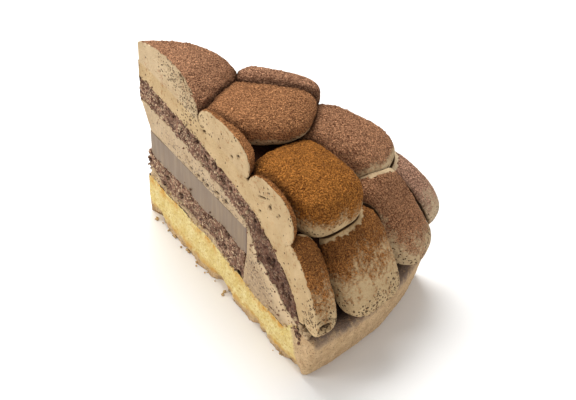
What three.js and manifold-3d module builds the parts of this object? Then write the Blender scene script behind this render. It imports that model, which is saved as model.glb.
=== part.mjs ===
// A cut slice of a tall chocolate mousse tart. From the plate up it has a thick shortcrust
// base with a low rim, a thin smear of cream, a chocolate sponge disc, a disc of ganache,
// a coffee mousse, a second sponge that droops to the rim, and a coat of mousse that
// carries rings of big piped dollops.
//
// Millimetres, +Z up. The tart's middle, where the two cuts meet, is the working origin:
// r is the distance from it, a is the angle from the middle of the slice, and z is the
// height over the plate. At the end the slice is moved to stand centred on the origin.
import * as THREE from 'three';
import { mergeVertices } from 'three/addons/utils/BufferGeometryUtils.js';
import Module from 'manifold-3d';

const wasm = await Module();
wasm.setup();

// Driving dimensions.
const RIM_RADIUS = 110;
const FOOT_RADIUS = 105.5;
const SLICE_ANGLE = THREE.MathUtils.degToRad(38);
const GAP = 0.3;

const FLOOR_AT_TIP = 17.5;
const FLOOR_AT_RIM = 14;
const RIM_HEIGHT = 19.5;
const RIM_LIP = 2.2;
const RIM_INNER_RADIUS = 92;

const SMEAR = 1.8;
const SMEAR_END = 62;
const DISC_RADIUS = 68;
const GANACHE_RADIUS = 70;
const GANACHE_BOTTOM = 29.3;
const GANACHE_TOP = 39.8;

const HALF = SLICE_ANGLE / 2;
const TIP_BLUNT = 1.2;
const ARC_STEPS = 6;

// How finely each layer is divided: along the radius, and from its bottom to its top.
const STEPS = { fine: 40, medium: 30, plain: 16, crumb: 4, smooth: 2 };

// A smooth curve or a bent line through (r, z) points, as a function of t from 0 to 1.
function smooth(points) {
  const spots = points.map(([r, z]) => new THREE.Vector3(r, 0, z));
  const curve = new THREE.CatmullRomCurve3(spots, false, 'centripetal');
  return (t) => {
    const p = curve.getPoint(t);
    return [p.x, p.z];
  };
}

function bent(points) {
  return (t) => {
    const place = Math.min(t, 0.999999) * (points.length - 1);
    const i = Math.floor(place);
    const [r0, z0] = points[i];
    const [r1, z1] = points[i + 1];
    return [r0 + (r1 - r0) * (place - i), z0 + (z1 - z0) * (place - i)];
  };
}

// A height over the radius as a curve, so that flat layers can be given by their heights.
function level(from, to, height) {
  return (t) => {
    const r = from + (to - from) * t;
    return [r, height(r)];
  };
}

// The curve moved sideways by `distance`, to the left of its direction of travel.
function offset(curve, distance) {
  const step = 0.004;
  return (t) => {
    const [r, z] = curve(t);
    const [r0, z0] = curve(Math.max(t - step, 0));
    const [r1, z1] = curve(Math.min(t + step, 1));
    const length = Math.hypot(r1 - r0, z1 - z0) || 1;
    return [r - (distance * (z1 - z0)) / length, z + (distance * (r1 - r0)) / length];
  };
}

// A repeatable bumpy field made of a few slanted waves, between about -1 and 1.
function bumps(x, y, seed, wavelength) {
  let sum = 0;
  for (let k = 0; k < 5; k += 1) {
    const turn = seed * 1.7 + k * 2.399;
    const wave = (2 * Math.PI * (1 + 0.37 * k)) / wavelength;
    const along = x * Math.cos(turn) + y * Math.sin(turn);
    sum += Math.sin(along * wave + seed * 3.1 + k * 1.3) / (1 + 0.35 * k);
  }
  return sum / 2.4;
}

// The floor of the crust sinks a little towards the rim, then climbs it in a soft step.
function floorHeight(r) {
  const slope = THREE.MathUtils.smoothstep(r, 40, 88);
  const climb = THREE.MathUtils.smoothstep(r, RIM_INNER_RADIUS, 98);
  const floor = FLOOR_AT_TIP + (FLOOR_AT_RIM - FLOOR_AT_TIP) * slope;
  return floor + (RIM_HEIGHT - floor) * climb + 0.35 * Math.sin(r * 0.31) * (1 - climb);
}

// The thin smear of cream on the floor, which runs out towards the edge of the disc.
function smearTop(r) {
  const fade = 1 - THREE.MathUtils.smoothstep(r, SMEAR_END - 22, SMEAR_END);
  return floorHeight(r) + GAP + 0.5 + (SMEAR + 0.5 * Math.sin(r * 0.42)) * fade;
}

function ganacheBottom(r) {
  return GANACHE_BOTTOM + 0.5 * Math.sin(r * 0.24 + 1);
}

// The drooping sponge: its lower and its upper face as seen on the cut.
const droopLower = smooth([
  [-1.4, 51], [12, 48.9], [27, 48.7], [42, 48.2], [55, 46.6], [64, 46], [70, 44.3], [73.4, 40.6],
  [75.6, 35.6], [78.6, 31.6], [82.6, 29.2], [87, 26.7], [91.6, 24.4], [96, 22], [100.2, 20.6],
]);
const droopUpper = smooth([
  [-1.6, 60], [12, 58.6], [27, 57.5], [41, 57], [52, 55], [61, 53.3], [68, 52.2], [73.4, 50.4],
  [78, 47.2], [82, 44.7], [86, 41.9], [90, 39.2], [94, 35.8], [98.6, 30.6], [102.6, 23.8],
]);

// The coat of mousse over it, from the tip over the shoulder and down to the rim.
const coatTop = smooth([
  [-1.8, 67], [12, 66.6], [27, 66], [42, 65], [53, 63.6], [62, 61.8], [69, 60], [75, 58.2],
  [80.4, 56.4], [85.4, 54], [90, 51], [94.2, 47.2], [98, 42], [101.8, 34], [104.2, 24.4],
]);

// A point of the slice. Near the tip the wedge stays a little blunt instead of closing.
function place(r, a, z) {
  const width = 0.5 * (r + Math.sqrt(r * r + 4 * TIP_BLUNT * TIP_BLUNT));
  return [r * Math.cos(a), width * Math.sin(a), z];
}

function solidMesh(positions, faces) {
  const geometry = new THREE.BufferGeometry();
  geometry.setAttribute('position', new THREE.Float32BufferAttribute(positions, 3));
  geometry.setIndex(faces);
  return geometry;
}

// A layer of the slice between a lower and an upper curve, swept round the slice's angle.
// relief(r, z, side) pushes the two cut faces in or out along their normals.
function layer({ lower, upper, along, up, spread = HALF, relief = () => 0 }) {
  const positions = [];
  const known = new Map();
  function corner(i, j, k) {
    const key = `${i},${j},${k}`;
    if (!known.has(key)) {
      const [r0, z0] = lower(i / along);
      const [r1, z1] = upper(i / along);
      const r = r0 + (r1 - r0) * (k / up);
      const z = z0 + (z1 - z0) * (k / up);
      const a = -spread + (2 * spread * j) / ARC_STEPS;
      const [x, y] = place(r, a, z);
      const side = j === 0 ? -1 : j === ARC_STEPS ? 1 : 0;
      const push = side === 0 ? 0 : relief(r, z, side);
      known.set(key, positions.length / 3);
      positions.push(x - push * Math.sin(HALF), y + side * push * Math.cos(HALF), z);
    }
    return known.get(key);
  }
  const faces = [];
  function sheet(countU, countV, at) {
    for (let u = 0; u < countU; u += 1) {
      for (let v = 0; v < countV; v += 1) {
        const [p, q] = [at(u, v), at(u + 1, v)];
        const [s, t] = [at(u, v + 1), at(u + 1, v + 1)];
        faces.push(p, q, t, p, t, s);
      }
    }
  }
  sheet(along, ARC_STEPS, (u, v) => corner(u, v, up));
  sheet(ARC_STEPS, along, (u, v) => corner(v, u, 0));
  sheet(along, up, (u, v) => corner(u, 0, v));
  sheet(up, along, (u, v) => corner(v, ARC_STEPS, u));
  sheet(ARC_STEPS, up, (u, v) => corner(along, u, v));
  sheet(up, ARC_STEPS, (u, v) => corner(0, v, u));
  return solidMesh(positions, faces);
}

// Torn crumb on a cut face, and the chips broken off the crust's foot.
const CHIPS = {
  near: [
    { at: 6, wide: 5, deep: 3 }, { at: 52, wide: 4.5, deep: 3.4 },
    { at: 78, wide: 4, deep: 1.4 }, { at: 99, wide: 4, deep: 2 },
  ],
  far: [
    { at: 10, wide: 6, deep: 2.5 }, { at: 38, wide: 5, deep: 2 },
    { at: 66, wide: 4, deep: 3 }, { at: 92, wide: 5, deep: 1.6 },
  ],
};
const crumb = (depth, seed) => (r, z, side) => depth * bumps(r, z, seed + side, 7);

function crustRelief(r, z, side) {
  const foot = 1 - THREE.MathUtils.smoothstep(z, 0, 8);
  let chipped = 0;
  for (const { at, wide, deep } of side < 0 ? CHIPS.near : CHIPS.far) {
    chipped += deep * Math.exp(-(((r - at) / wide) ** 2));
  }
  return 0.35 * bumps(r, z, 4 + side, 8) - chipped * foot;
}

// The crust's lower outline runs along the plate and then up the outside of the flared wall.
const CRUST_TIP = 1.4;
const crustUnder = bent([
  [CRUST_TIP, 0], [12, 0], [23, 0], [34, 0], [45, 0], [56, 0], [67, 0], [78, 0], [89, 0],
  [98, 0], [FOOT_RADIUS - 1, 0], [FOOT_RADIUS + 1, 2.4], [RIM_RADIUS, RIM_HEIGHT - RIM_LIP],
]);
const crustOver = level(CRUST_TIP, RIM_RADIUS - RIM_LIP, floorHeight);

// The lower mousse lies on the ganache, fills the step round both discs and meets the rim.
const fillOverDiscs = bent([
  [5, GANACHE_TOP], [20, GANACHE_TOP], [35, GANACHE_TOP], [48, GANACHE_TOP], [59, GANACHE_TOP],
  [66, GANACHE_TOP], [GANACHE_RADIUS + GAP, GANACHE_TOP], [GANACHE_RADIUS + GAP, 34],
  [GANACHE_RADIUS + GAP, GANACHE_BOTTOM], [DISC_RADIUS + GAP + 0.5, 21],
  [DISC_RADIUS + GAP, floorHeight(68) + GAP],
]);
const fillOnFloor = level(DISC_RADIUS + GAP, 96, (r) => floorHeight(r) + GAP);
const DISC_SHARE = 5 / 7;
function fillUnder(t) {
  const onFloor = t > DISC_SHARE;
  return onFloor ? fillOnFloor((t - DISC_SHARE) / (1 - DISC_SHARE)) : fillOverDiscs(t / DISC_SHARE);
}

// A piped dollop: a ball drawn out to its own length, width and height, fuller than an
// ellipsoid, laid on the slope of the coat and squashed a little flatter underneath.
const DOLLOP_SEGMENTS = 20;
const DOLLOP_RINGS = 13;
const DOLLOP_FULLNESS = 2.5;

function fuller(x, y, z) {
  const size = Math.abs(x) ** DOLLOP_FULLNESS + Math.abs(y) ** DOLLOP_FULLNESS;
  return 1 / (size + Math.abs(z) ** DOLLOP_FULLNESS) ** (1 / DOLLOP_FULLNESS);
}

function dollop({ r, z, angle, length, width, height, tilt, belly = 0, seed }, grow = 0) {
  const ball = new THREE.SphereGeometry(1, DOLLOP_SEGMENTS, DOLLOP_RINGS);
  ball.deleteAttribute('normal');
  ball.deleteAttribute('uv');
  const geometry = mergeVertices(ball, 1e-5);
  const spots = geometry.getAttribute('position');
  const turn = THREE.MathUtils.degToRad(angle);
  const lean = THREE.MathUtils.degToRad(tilt);
  for (let i = 0; i < spots.count; i += 1) {
    const [x, y, up] = [spots.getX(i), spots.getY(i), spots.getZ(i)];
    const wide = (1 + belly * x) * (1 + 0.025 * bumps(x * 10, up * 10 + y * 6, seed, 16));
    const full = fuller(x, y, up) * wide;
    const s = x * fuller(x, y, up) * (length + grow);
    const t = y * full * (width + grow);
    const n = up * full * (height + grow);
    const out = r + s * Math.cos(lean) + n * Math.sin(lean);
    const rise = z - s * Math.sin(lean) + n * Math.cos(lean);
    const px = out * Math.cos(turn) - t * Math.sin(turn);
    const py = out * Math.sin(turn) + t * Math.cos(turn);
    spots.setXYZ(i, px, py, rise);
  }
  return geometry;
}

// The rings of dollops, in the order in which they keep their whole shape: each one is
// dented by those before it. r and z are the middle of a dollop, length, width and height
// are its half sizes, tilt is how far it leans down the slope, and angle is its place round
// the tart. Those beyond the slice's angle are only there as far as the cut.
const CENTRE = { r: 13, z: 66, length: 26.3, width: 24, height: 11.5, tilt: -5 };
const INNER = { r: 54, z: 65.5, length: 17.2, width: 15, height: 10, tilt: 3 };
const MIDDLE = { r: 81.5, z: 56.5, length: 17, width: 15, height: 10.6, tilt: 19 };
const OUTER = { r: 98.6, z: 37, length: 19.5, width: 13.6, height: 11.6, tilt: 66, belly: 0.12 };
const DOLLOPS = [
  { name: 'dollop_centre', ...CENTRE, angle: 0 },
  { name: 'dollop_inner_1', ...INNER, angle: 1 },
  { name: 'dollop_inner_2', ...INNER, angle: -27, height: 11 },
  { name: 'dollop_inner_3', ...INNER, angle: 29.5, height: 11 },
  { name: 'dollop_middle_1', ...MIDDLE, angle: -7 },
  { name: 'dollop_middle_2', ...MIDDLE, angle: 12, r: 78, z: 55.5, length: 16, width: 14.5 },
  { name: 'dollop_middle_3', ...MIDDLE, angle: -26.5, r: 83, height: 11.8 },
  { name: 'dollop_outer_1', ...OUTER, angle: -5.5 },
  { name: 'dollop_outer_2', ...OUTER, angle: 8.5 },
  { name: 'dollop_outer_3', ...OUTER, angle: -19.5 },
  { name: 'dollop_outer_4', ...OUTER, angle: 22, r: 99, z: 34, length: 17, height: 11 },
].map((one, i) => ({ ...one, seed: i + 1 }));

function toSolid(geometry) {
  const vertProperties = new Float32Array(geometry.getAttribute('position').array);
  const triVerts = new Uint32Array(geometry.getIndex().array);
  return new wasm.Manifold(new wasm.Mesh({ numProp: 3, vertProperties, triVerts }));
}

function toGeometry(solid) {
  const mesh = solid.getMesh();
  return solidMesh(mesh.vertProperties, Array.from(mesh.triVerts));
}

// The space between the two cuts, and the space that the coat and the crust's rim fill.
function sliceSpace() {
  const reach = RIM_RADIUS + 30;
  const radii = [-2, 3, reach];
  const right = radii.map((r) => place(r, -HALF, 0));
  const left = radii.map((r) => place(r, HALF, 0)).reverse();
  const outline = [...right, ...left].map(([x, y]) => new THREE.Vector2(x, y));
  const depth = 120;
  const block = new THREE.ExtrudeGeometry(new THREE.Shape(outline), { depth, bevelEnabled: false });
  block.deleteAttribute('normal');
  block.deleteAttribute('uv');
  return toSolid(mergeVertices(block, 1e-4));
}

function coatSpace() {
  const upper = offset(coatTop, GAP);
  const lower = (t) => [upper(t)[0], -10];
  const body = layer({ lower, upper, along: STEPS.fine, up: 1, spread: HALF * 1.3 });
  const [edge] = upper(1);
  const step = level(edge - 8, RIM_RADIUS + 20, () => RIM_HEIGHT + GAP);
  const ground = level(edge - 8, RIM_RADIUS + 20, () => -10);
  const rim = layer({ lower: ground, upper: step, along: 4, up: 1, spread: HALF * 1.3 });
  return toSolid(body).add(toSolid(rim));
}

function pipedDollops() {
  const cut = sliceSpace();
  let taken = coatSpace();
  return DOLLOPS.map((one) => {
    const solid = toSolid(dollop(one)).intersect(cut).subtract(taken);
    taken = taken.add(toSolid(dollop(one, GAP)));
    return { name: one.name, geometry: toGeometry(solid) };
  });
}

// What each layer looks like.
const crustMaterial = () => new THREE.MeshStandardMaterial({ color: 0xd9bd7c, roughness: 0.85 });
const spongeMaterial = () => new THREE.MeshStandardMaterial({ color: 0x5c4038, roughness: 0.95 });
const ganacheMaterial = () => new THREE.MeshStandardMaterial({ color: 0x8d7c6c, roughness: 0.55 });
const mousseMaterial = () => new THREE.MeshStandardMaterial({ color: 0xcbb08a, roughness: 0.7 });
const cocoaMaterial = () => new THREE.MeshStandardMaterial({ color: 0x8f5f3c, roughness: 0.95 });

const tart = new THREE.Group();

function addPiece(name, geometry, material) {
  const mesh = new THREE.Mesh(geometry, material);
  mesh.name = name;
  tart.add(mesh);
}

addPiece(
  'crust',
  layer({
    lower: crustUnder, upper: crustOver, along: 36, up: STEPS.crumb, relief: crustRelief,
  }),
  crustMaterial(),
);
addPiece(
  'base_cream',
  layer({
    lower: level(3.2, SMEAR_END, (r) => floorHeight(r) + GAP),
    upper: level(3.2, SMEAR_END, smearTop),
    along: STEPS.plain, up: STEPS.smooth, relief: crumb(0.2, 3),
  }),
  mousseMaterial(),
);
addPiece(
  'lower_sponge',
  layer({
    lower: level(2.4, DISC_RADIUS, (r) => smearTop(r) + GAP),
    upper: level(2.4, DISC_RADIUS, (r) => ganacheBottom(r) - GAP),
    along: STEPS.medium, up: STEPS.crumb, relief: crumb(0.7, 11),
  }),
  spongeMaterial(),
);
addPiece(
  'ganache',
  layer({
    lower: level(4.2, GANACHE_RADIUS, ganacheBottom),
    upper: level(4.2, GANACHE_RADIUS, () => GANACHE_TOP - GAP),
    along: STEPS.plain, up: STEPS.smooth,
  }),
  ganacheMaterial(),
);
addPiece(
  'lower_mousse',
  layer({
    lower: fillUnder, upper: offset(droopLower, -GAP), along: STEPS.fine, up: STEPS.smooth,
  }),
  mousseMaterial(),
);
addPiece(
  'upper_sponge',
  layer({
    lower: droopLower, upper: droopUpper, along: STEPS.fine, up: STEPS.crumb, relief: crumb(0.7, 7),
  }),
  spongeMaterial(),
);
addPiece(
  'upper_mousse',
  layer({
    lower: offset(droopUpper, GAP), upper: coatTop, along: STEPS.medium, up: STEPS.smooth,
  }),
  mousseMaterial(),
);
for (const { name, geometry } of pipedDollops()) {
  addPiece(name, geometry, cocoaMaterial());
}

// Stand the slice centred on the origin, with its foot at height zero.
const reach = new THREE.Box3().setFromObject(tart);
const middle = reach.getCenter(new THREE.Vector3());
tart.position.set(-middle.x, -middle.y, -reach.min.z);

const slice = new THREE.Group();
slice.add(tart);
export default slice;
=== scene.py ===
import bpy
import numpy as np
from mathutils import Matrix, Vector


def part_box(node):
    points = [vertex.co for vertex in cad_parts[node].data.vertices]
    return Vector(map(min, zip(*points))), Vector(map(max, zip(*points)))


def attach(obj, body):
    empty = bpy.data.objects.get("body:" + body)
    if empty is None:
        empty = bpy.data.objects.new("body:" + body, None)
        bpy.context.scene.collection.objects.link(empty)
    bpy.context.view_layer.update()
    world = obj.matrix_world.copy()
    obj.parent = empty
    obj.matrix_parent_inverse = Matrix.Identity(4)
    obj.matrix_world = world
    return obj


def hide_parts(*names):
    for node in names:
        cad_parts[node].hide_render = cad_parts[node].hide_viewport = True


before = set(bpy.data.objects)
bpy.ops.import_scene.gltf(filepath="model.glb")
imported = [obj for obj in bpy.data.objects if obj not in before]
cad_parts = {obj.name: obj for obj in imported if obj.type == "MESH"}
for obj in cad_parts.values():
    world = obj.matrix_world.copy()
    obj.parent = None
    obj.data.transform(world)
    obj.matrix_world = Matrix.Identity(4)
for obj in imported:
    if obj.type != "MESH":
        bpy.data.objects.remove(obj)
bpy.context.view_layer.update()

# Stage: a pale table top in even, soft daylight from above, seen from the side of the near
# cut and a little over the rim. The floor and the lamps aren't part of the slice.
AZIMUTH, ELEVATION, ROLL = np.radians([35.85, 38.97, 2.23])
DISTANCE = 0.4483
AIM = np.array([0.00215, 0.011703, 0.0265])
LENS, SENSOR = 78.125, 36.0
FLOOR_SIDE = 8.0
FLOOR_COLOUR, SKY_COLOUR = "#FBFAF8", "#FFFFFF"
SKY_STRENGTH = 0.42
LAMPS = {  # place, size and power of each soft lamp
    "overhead_lamp": ((-0.30, 0.20, 0.75), 0.50, 6.2),
    "window_lamp": ((-0.60, -0.75, 0.45), 0.60, 4.6),
    "side_lamp": ((0.85, -0.25, 0.50), 0.60, 1.6),
}


def linear(colour):
    """The linear RGBA of an sRGB hex colour: each channel less 0.055 over 1.055 to the power 2.4."""
    channels = np.array([int(colour[i : i + 2], 16) for i in (1, 3, 5)]) / 255
    curved = np.where(channels <= 0.04045, channels / 12.92, ((channels + 0.055) / 1.055) ** 2.4)
    return (*curved, 1.0)


def add(tree, kind, inputs=(), **settings):
    """A new shader node: settings are its properties, and inputs gives each socket a value or an output."""
    node = tree.nodes.new("ShaderNode" + kind)
    for key, value in settings.items():
        setattr(node, key, value)
    for key, value in dict(inputs).items():
        if isinstance(value, bpy.types.NodeSocket):
            tree.links.new(value, node.inputs[key])
        else:
            node.inputs[key].default_value = value
    return node


def material(name, **numbers):
    """A new material's tree and its Principled shader, with the numbers that are even all over it."""
    made = bpy.data.materials.new(name)
    made.use_nodes = True
    shader = made.node_tree.nodes["Principled BSDF"]
    for key, value in numbers.items():
        shader.inputs[key.replace("_", " ")].default_value = value
    return made, made.node_tree, shader


def mix(tree, share, first, second):
    """The first colour turning to the second as share goes from 0 to 1; hex colours or outputs."""
    ends = [linear(c) if isinstance(c, str) else c for c in (first, second)]
    return add(tree, "Mix", {0: share, 6: ends[0], 7: ends[1]}, data_type="RGBA").outputs[2]


sky = bpy.data.worlds.new("soft_daylight")
sky.use_nodes = True
sky_light = sky.node_tree.nodes["Background"].inputs
sky_light["Color"].default_value = linear(SKY_COLOUR)
sky_light["Strength"].default_value = SKY_STRENGTH
bpy.context.scene.world = sky
bpy.context.scene.view_settings.view_transform = "Standard"

level_back = np.array([np.sin(AZIMUTH), -np.cos(AZIMUTH), 0])
back = np.cos(ELEVATION) * level_back + np.array([0, 0, np.sin(ELEVATION)])
level_right = np.array([np.cos(AZIMUTH), np.sin(AZIMUTH), 0])
level_up = np.cross(back, level_right)
right = np.cos(ROLL) * level_right + np.sin(ROLL) * level_up
up = np.cos(ROLL) * level_up - np.sin(ROLL) * level_right
camera = bpy.data.objects.new("camera", bpy.data.cameras.new("camera"))
camera.data.lens = LENS
camera.data.sensor_width = SENSOR
pose = np.eye(4)
pose[:3] = np.stack([right, up, back, AIM + DISTANCE * back], 1)
camera.matrix_world = Matrix(pose.tolist())
bpy.context.collection.objects.link(camera)
bpy.context.scene.camera = camera

for lamp_name, (spot, size, power) in LAMPS.items():
    lamp = bpy.data.objects.new(lamp_name, bpy.data.lights.new(lamp_name, "AREA"))
    lamp.data.size = size
    lamp.data.energy = power
    away = np.array(spot) / np.linalg.norm(spot)
    across = np.cross([0, 0, 1], away)
    across = across / np.linalg.norm(across)
    pose = np.eye(4)
    pose[:3] = np.stack([across, np.cross(away, across), away, spot], 1)
    lamp.matrix_world = Matrix(pose.tolist())
    bpy.context.collection.objects.link(lamp)

# White laminate: pale and nearly matt, so that it shows the slice's soft shadow and little else.
table_paint, tree, shader = material("white_laminate", Roughness=0.6)
shader.inputs["Base Color"].default_value = linear(FLOOR_COLOUR)
floor_mesh = bpy.data.meshes.new("floor")
half = FLOOR_SIDE / 2
floor_corners = [(-half, -half, 0), (half, -half, 0), (half, half, 0), (-half, half, 0)]
floor_mesh.from_pydata(floor_corners, [], [(0, 1, 2, 3)])
floor_mesh.materials.append(table_paint)
floor = bpy.data.objects.new("floor", floor_mesh)
bpy.context.collection.objects.link(floor)

# Shortcrust base: butter pastry pressed into a tart ring and baked, 14 to 17.5 mm thick, with a
# low flared wall. The knife leaves its pale sandy inside bare and breaks chips off its foot,
# while what touched the tin is a browned skin.
RIM_RADIUS, FOOT_RADIUS = 110.0, 105.5
RIM_HEIGHT, RIM_LIP = 19.5, 2.2
RIM_FROM, RIM_FULL = 92, 98  # the radii between which the floor climbs to the rim
SINK_FROM, SINK_TO = 40, 88  # the radii between which it sinks
FLOOR_AT_TIP, FLOOR_AT_RIM = 17.5, 14.0
FLOOR_WAVE, FLOOR_WAVE_RATE = 0.35, 0.31  # height of its slow wave, and radians per mm
FOOT_BEVEL, BEVEL_SPREAD = 0.137, 14.6  # its share of the wall's height, and mm out over all of it
HALF = np.radians(19)  # from the middle of the slice to a cut
TIP_BLUNT = 1.2
_, crust_high = (np.array(corner) * 1000 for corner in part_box("crust"))
ganache_low, ganache_high = (np.array(corner) * 1000 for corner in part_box("ganache"))
TIP = np.array([crust_high[0] - RIM_RADIUS, (ganache_low[1] + ganache_high[1]) / 2, 0])
OUTLINE_POINTS, SIDE_STEPS, TOP_RINGS, BOTTOM_RINGS = 620, 34, 18, 6
CUT_SHARE, RIM_SHARE = 0.37, 0.13  # of the outline's points: on each cut and on each half of the rim
CRUST_CENTRE = np.array([72.0, 0.0])
CORNER_SOFT = 11  # points of the running mean that rounds the outline's corners
CHIPS = {  # place along the cut, half width and depth of each chip off the foot, in mm
    -1: [(6, 5, 3.0), (52, 3.6, 3.6), (58, 2, 1.0), (76, 2.2, 1.8), (81, 1.6, 1.2), (99, 4, 2.0)],
    1: [(10, 6, 2.5), (38, 4, 2.0), (44, 2, 1.4), (66, 3.4, 3.0), (92, 5, 1.6)],
}


def smoothstep(x, low, high):
    """0 below low, 1 above high, and 3t squared less 2t cubed between them."""
    t = np.clip((x - low) / (high - low), 0, 1)
    return t * t * (3 - 2 * t)


def hashed(cells, seed):
    """A repeatable number from 0 to 1 for each whole (x, y, z): large products, mixed and cut."""
    x, y, z = np.moveaxis(cells.astype(np.int64), -1, 0)
    h = (x * 73856093) ^ (y * 19349663) ^ (z * 83492791) ^ (seed * 265443576)
    h = ((h ^ (h >> 13)) & 0x7FFFFFFF) * 1274126177 & 0x7FFFFFFF
    h = (h ^ (h >> 15)) * 73244475 & 0x7FFFFFFF
    return ((h ^ (h >> 16)) & 0xFFFFFF) / 0xFFFFFF


def noise(points, size, seed):
    """Smooth noise from -1 to 1: random values at lattice points `size` mm apart, blended by smoothstep."""
    place_in = points / size
    cell = np.floor(place_in).astype(np.int64)
    part = place_in - cell
    part = part * part * (3 - 2 * part)
    total = 0
    for corner in np.ndindex(2, 2, 2):
        weight = np.prod(np.where(np.array(corner) == 1, part, 1 - part), -1)
        total = total + weight * hashed(cell + np.array(corner), seed)
    return 2 * total - 1


def fractal(points, size, seed, octaves=3):
    """Noise summed over octaves, each half as large and 0.55 times as strong as the last."""
    strengths = 0.55 ** np.arange(octaves)
    waves = (s * noise(points, size / 2**k, seed + 31 * k) for k, s in enumerate(strengths))
    return sum(waves) / strengths.sum()


def clumps(points, size, seed):
    """Scattered spots, one in each cell of `size` mm: the distance to the nearest, in cells, and its number,
    which is random from 0 to 1."""
    place_in = points / size
    cell = np.floor(place_in).astype(np.int64)
    nearest = np.full(len(points), 9.0)
    own = np.zeros(len(points))
    for step in np.ndindex(3, 3, 3):
        around = cell + np.array(step) - 1
        spot = around + np.stack([hashed(around, seed + k) for k in (1, 2, 3)], -1)
        distance = np.linalg.norm(place_in - spot, axis=-1)
        own = np.where(distance < nearest, hashed(around, seed + 4), own)
        nearest = np.minimum(distance, nearest)
    return nearest, own


def place(r, a, z):
    """The point at radius r and angle a, at height z. The wedge stays a little blunt where r nears 0."""
    width = 0.5 * (r + np.sqrt(r * r + 4 * TIP_BLUNT**2))
    return np.stack(np.broadcast_arrays(r * np.cos(a), width * np.sin(a), z), -1)


def floor_height(r):
    """The crust's floor: it sinks in one soft step and climbs to the rim in another, with a slow wave."""
    climb = smoothstep(r, RIM_FROM, RIM_FULL)
    sunk = FLOOR_AT_TIP + (FLOOR_AT_RIM - FLOOR_AT_TIP) * smoothstep(r, SINK_FROM, SINK_TO)
    return sunk + (RIM_HEIGHT - sunk) * climb + FLOOR_WAVE * np.sin(FLOOR_WAVE_RATE * r) * (1 - climb)


def crust_top(r):
    """The floor's height, or less where the lip rounds off in a quarter circle to the outer wall."""
    inside = np.clip(RIM_RADIUS - r, 0, RIM_LIP)
    lip = RIM_HEIGHT - RIM_LIP + np.sqrt(RIM_LIP**2 - (RIM_LIP - inside) ** 2)
    return np.minimum(floor_height(r), lip)


def outline(reach):
    """The wedge's outline: along the near cut, round the rim and back, softened by a running mean."""
    s = np.arange(OUTLINE_POINTS) / OUTLINE_POINTS
    r = np.minimum(np.minimum(s, 1 - s) / CUT_SHARE, 1) * reach
    a = np.clip((s - 0.5) / RIM_SHARE, -1, 1) * HALF
    ring = place(r, a, 0 * s)[:, :2]
    shifts = range(-(CORNER_SOFT // 2), CORNER_SOFT // 2 + 1)
    return sum(np.roll(ring, k, 0) for k in shifts) / CORNER_SOFT


def ring_faces(rings, count):
    """Quads between closed rings of `count` points, and fans that close both ends at two last points."""
    ids = np.arange(rings * count).reshape(rings, count)
    turned = np.roll(ids, -1, 1)
    quads = np.stack([ids[:-1], turned[:-1], turned[1:], ids[1:]], -1).reshape(-1, 4)
    first, last = rings * count, rings * count + 1
    start = np.stack([np.full(count, first), turned[0], ids[0]], -1)
    end = np.stack([np.full(count, last), ids[-1], turned[-1]], -1)
    return [quads, start, end]


def piece(name, points, faces, skin, slot, nodes, **marks):
    """A mesh with points in mm from the tart's middle, some arrays of faces and marks on its points."""
    sets = faces if isinstance(faces, list) else [faces]
    mesh = bpy.data.meshes.new(name)
    mesh.vertices.add(len(points))
    mesh.vertices.foreach_set("co", ((points + TIP) / 1000).astype(np.float32).ravel())
    corners = np.concatenate([f.ravel() for f in sets])
    lengths = np.concatenate([np.full(len(f), f.shape[1]) for f in sets])
    mesh.loops.add(len(corners))
    mesh.loops.foreach_set("vertex_index", corners.astype(np.int32))
    mesh.polygons.add(len(lengths))
    mesh.polygons.foreach_set("loop_start", (np.cumsum(lengths) - lengths).astype(np.int32))
    mesh.polygons.foreach_set("use_smooth", np.ones(len(lengths), bool))
    for key, values in marks.items():
        mesh.attributes.new(key, "FLOAT", "POINT").data.foreach_set("value", values.astype(np.float32))
    mesh.update(calc_edges=True)
    mesh.materials.append(skin)
    made = bpy.data.objects.new(name, mesh)
    bpy.context.collection.objects.link(made)
    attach(made, "root")
    if nodes:
        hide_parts(*nodes)


def mark(tree, name):
    """A number stored on the mesh's points."""
    return add(tree, "Attribute", attribute_name=name).outputs["Fac"]


def pattern(tree, size_mm, detail=2.0, low=0.3, high=0.7, stretch=(1, 1, 1)):
    """Noise with features of about size_mm, spread from 0 to 1 between its own low and high values."""
    spot = add(tree, "TexCoord").outputs["Object"]
    turned = add(tree, "Mapping", {"Vector": spot, "Scale": stretch}).outputs["Vector"]
    wave = add(tree, "TexNoise", {"Vector": turned, "Scale": 900 / size_mm, "Detail": detail})
    return add(tree, "MapRange", {"Value": wave.outputs["Fac"], "From Min": low, "From Max": high}).outputs[0]


def grains(tree, size_mm):
    """Scattered cells of about size_mm: a random number for each, and how far off its middle, in cells."""
    spot = add(tree, "TexCoord").outputs["Object"]
    cells = add(tree, "TexVoronoi", {"Vector": spot, "Scale": 1000 / size_mm, "Randomness": 1.0})
    return add(tree, "SeparateColor", {"Color": cells.outputs["Color"]}).outputs[0], cells.outputs["Distance"]


def ramp(tree, value, low, high):
    """0 where the value is at low and 1 where it is at high, and even between them."""
    return add(tree, "MapRange", {"Value": value, "From Min": low, "From Max": high}).outputs[0]


def sums(tree, *terms):
    """The sum of each output times its number."""
    total = 0.0
    for output, strength in terms:
        total = add(tree, "Math", {0: output, 1: strength, 2: total}, operation="MULTIPLY_ADD").outputs[0]
    return total


def product(tree, first, second):
    """One output times the other."""
    return add(tree, "Math", {0: first, 1: second}, operation="MULTIPLY").outputs[0]


def paint(tree, shader, colour, height, strength, distance):
    """Gives the shader its colour and a bump, in which a height of 1 stands for `distance` metres."""
    tree.links.new(colour, shader.inputs["Base Color"])
    bump = add(tree, "Bump", {"Strength": strength, "Distance": distance, "Height": height})
    tree.links.new(bump.outputs["Normal"], shader.inputs["Normal"])


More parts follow.
